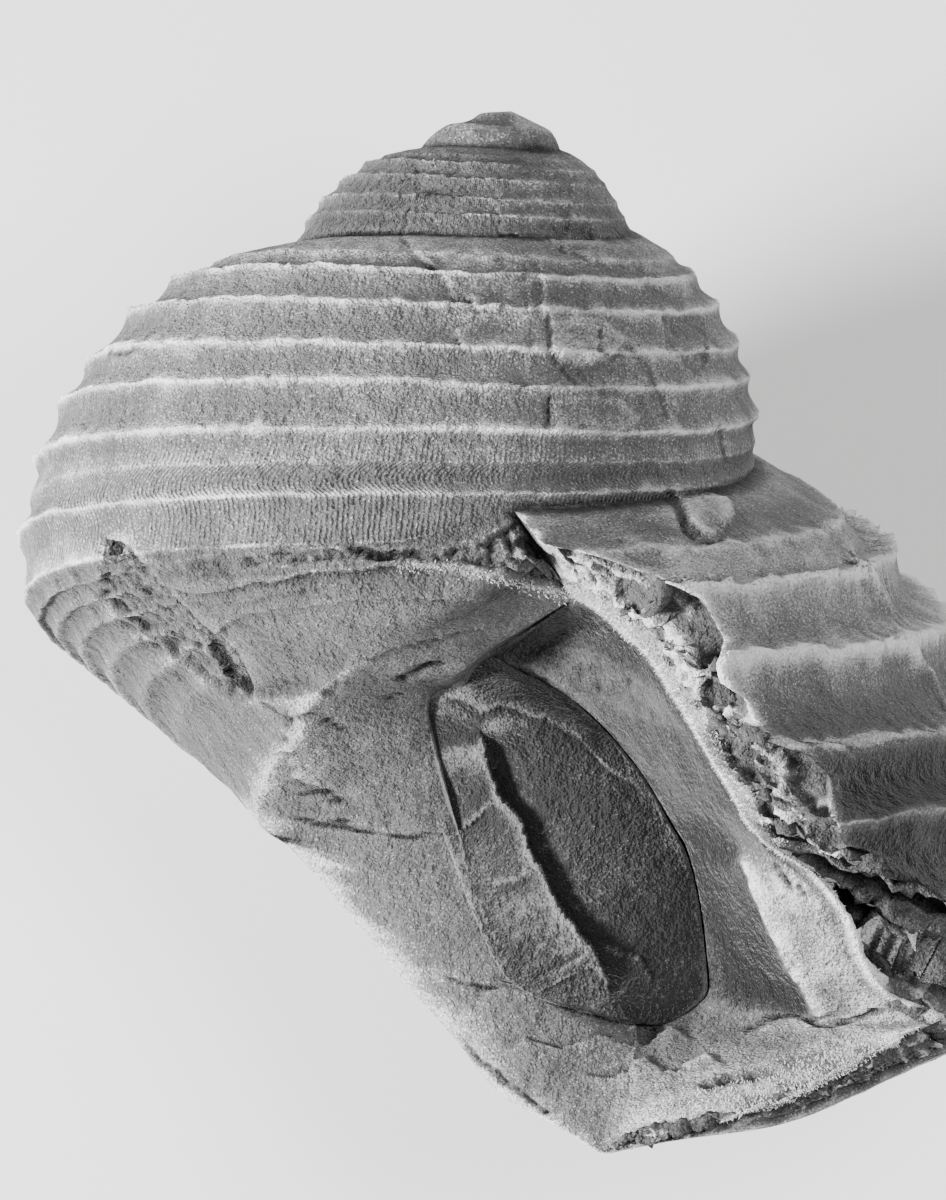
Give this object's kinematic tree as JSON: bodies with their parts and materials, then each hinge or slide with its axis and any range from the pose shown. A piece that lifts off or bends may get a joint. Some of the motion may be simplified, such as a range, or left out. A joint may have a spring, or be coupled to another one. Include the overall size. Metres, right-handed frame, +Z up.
{
  "type": "fossil snail shell",
  "caption": "Fossil top-shaped sea snail shell with spiral cords, a broken outer lip and hardened sediment plugging its mouth.",
  "frame": {"origin": "centre of the shell's bounding box, at its bottom, on the surface it lies on", "axes": "+Z up out of the mouth, +Y towards the apex, +X towards the outer lip's side"},
  "size_m": [0.0194, 0.0208, 0.0186],
  "materials": {
    "shell_stone": "matt, fine-grained",
    "matrix": "matt, dark"
  },
  "bodies": {
    "root": {"shell": "shell_stone", "matrix_plug": "matrix"}
  },
  "joints": []
}
